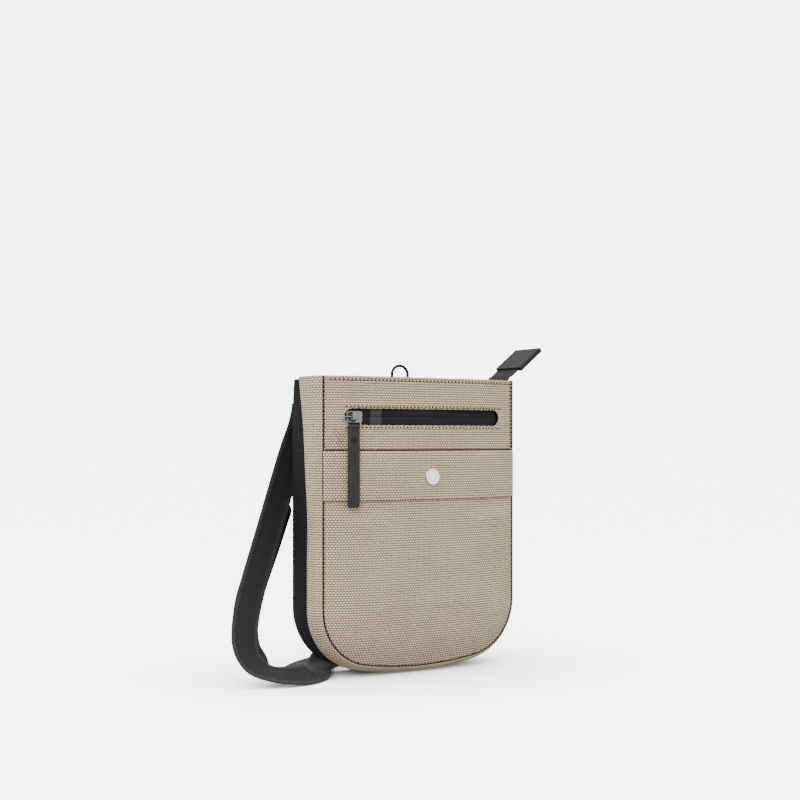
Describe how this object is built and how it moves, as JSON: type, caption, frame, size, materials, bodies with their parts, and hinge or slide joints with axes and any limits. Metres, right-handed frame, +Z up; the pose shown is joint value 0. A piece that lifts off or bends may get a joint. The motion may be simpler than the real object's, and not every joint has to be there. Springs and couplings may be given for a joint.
{
  "type": "neck pouch wallet",
  "caption": "Small upright fabric travel pouch with a curved foot, front zip pocket, snapped slip pocket, zipped top with a tail, and webbing strap.",
  "frame": {"origin": "on the floor under the middle of the pouch's bounding box, taken with the zip tail and without the strap", "axes": "+Z up; the front with the zip and the snap faces -Y; +X is the wearer's left, the side of the zip tail"},
  "size_m": [0.2291, 0.1255, 0.2243],
  "materials": {
    "woven_cloth": "coarse two-tone weave",
    "black_cloth": "woven, matt",
    "lining": "plain thin weave",
    "zip_tape": "ribbed tape",
    "zip_coil": "nylon coil",
    "black_metal": "black enamel, satin",
    "gunmetal": "dark nickel, satin",
    "snap_metal": "satin nickel",
    "pull_rubber": "matt, moulded",
    "tab_leather": "matt synthetic leather",
    "webbing": "ribbed webbing",
    "strap_plastic": "moulded, satin"
  },
  "bodies": {
    "pouch": {"front_panel": "woven_cloth", "pocket_panel": "woven_cloth", "side_gusset": "woven_cloth", "back_rim": "black_cloth", "back_panel": "black_cloth", "main_lining": "lining", "zip_pocket_bag": "lining", "front_zip_tape_upper": "zip_tape", "front_zip_tape_lower": "zip_tape", "top_zip_tape_front": "zip_tape", "top_zip_tape_back": "zip_tape", "top_zip_ramp": "zip_tape", "front_zip_coil_upper": "zip_coil", "front_zip_coil_lower": "zip_coil", "top_zip_coil_front": "zip_coil", "top_zip_coil_back": "zip_coil", "front_zip_stop_right": "black_metal", "snap_stud": "snap_metal", "snap_rivet": "snap_metal", "top_ring_tab": "webbing", "strap_anchor_left": "webbing", "strap_anchor_right": "webbing", "strap_short": "webbing", "strap_doubler": "webbing", "strap_webbing": "webbing", "strap_ring": "strap_plastic", "strap_adjuster": "strap_plastic"},
    "pocket_mouth": {"pocket_hem": "woven_cloth", "snap_cap": "snap_metal", "snap_socket": "snap_metal"},
    "front_slider": {"front_zip_slider": "gunmetal"},
    "front_ring": {"front_zip_ring": "gunmetal"},
    "front_pull": {"front_zip_pull": "pull_rubber", "front_zip_pull_eyelet": "gunmetal"},
    "top_slider": {"top_zip_slider": "black_metal"},
    "top_pull": {"top_zip_pull": "black_metal"},
    "tail": {"top_zip_tail": "zip_tape", "top_zip_end_tab": "tab_leather"},
    "hanging_ring": {"top_ring": "black_metal"}
  },
  "joints": [
    {"name": "pocket_mouth", "type": "hinge", "parent": "pouch", "child": "pocket_mouth", "pos_m": [-0.01103, -0.02526, 0.119], "axis": [1, 0, 0], "range_deg": [0, 25]},
    {"name": "front_zip", "type": "hinge", "parent": "pouch", "child": "front_slider", "pos_m": [-0.01103, 0.38056, 0.1731], "axis": [0, 0, 1], "range_deg": [0, 15.2]},
    {"name": "front_ring", "type": "hinge", "parent": "front_slider", "child": "front_ring", "pos_m": [-0.06901, -0.01978, 0.1731], "axis": [-0.9908, 0.135, 0], "range_deg": [0, 110]},
    {"name": "front_pull", "type": "hinge", "parent": "front_ring", "child": "front_pull", "pos_m": [-0.06968, -0.02469, 0.1665], "axis": [-0.9908, 0.135, 0], "range_deg": [0, 60]},
    {"name": "top_zip", "type": "slide", "parent": "pouch", "child": "top_slider", "axis": [1, 0, 0], "range_m": [0, 0.115]},
    {"name": "top_pull", "type": "hinge", "parent": "top_slider", "child": "top_pull", "pos_m": [-0.07213, 0.00096, 0.1971], "axis": [0, -1, 0], "range_deg": [0, 180]},
    {"name": "top_ring", "type": "hinge", "parent": "pouch", "child": "hanging_ring", "pos_m": [-0.01103, 0.01466, 0.1966], "axis": [1, 0, 0], "range_deg": [-35, 60]},
    {"name": "zip_tail", "type": "hinge", "parent": "pouch", "child": "tail", "pos_m": [0.06547, 0.00096, 0.2029], "axis": [0, 1, 0], "range_deg": [-40, 35]}
  ]
}
